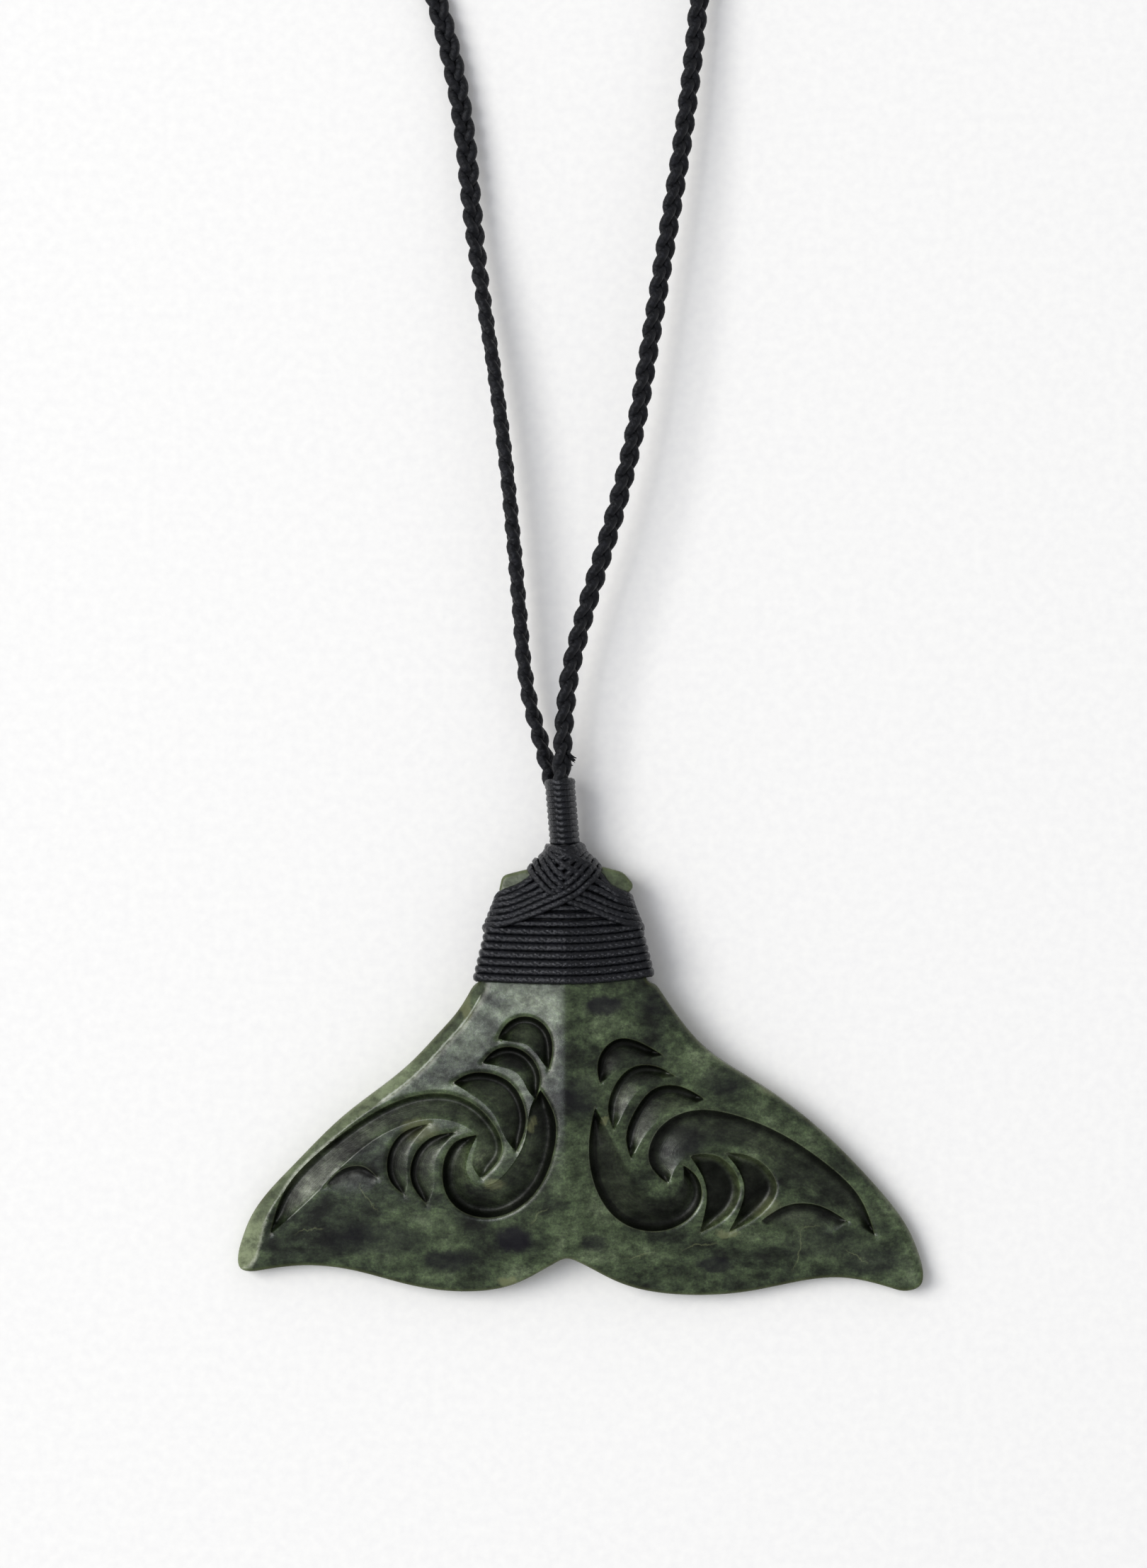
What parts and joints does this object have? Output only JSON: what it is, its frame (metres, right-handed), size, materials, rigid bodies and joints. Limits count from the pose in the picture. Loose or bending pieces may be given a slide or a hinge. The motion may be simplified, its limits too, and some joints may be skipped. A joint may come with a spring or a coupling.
{
  "type": "greenstone whale tail pendant on a plaited neck cord",
  "caption": "Carved greenstone whale tail with a flat back, bound with dark waxed cord to a plaited neck cord that lies in one closed loop.",
  "frame": {"origin": "on the stone's flat back, under its ridge, half way up the tail", "axes": "+Z out of the carved face, +Y up the stem towards the neck cord"},
  "size_m": [0.1278, 0.3301, 0.0083],
  "materials": {
    "greenstone": "satin polished stone",
    "waxed_cord": "waxed"
  },
  "bodies": {
    "root": {"greenstone_tail": "greenstone", "lashing_band": "waxed_cord", "lashing_saddle": "waxed_cord", "lashing_neck": "waxed_cord", "neck_cord": "waxed_cord"}
  },
  "joints": []
}
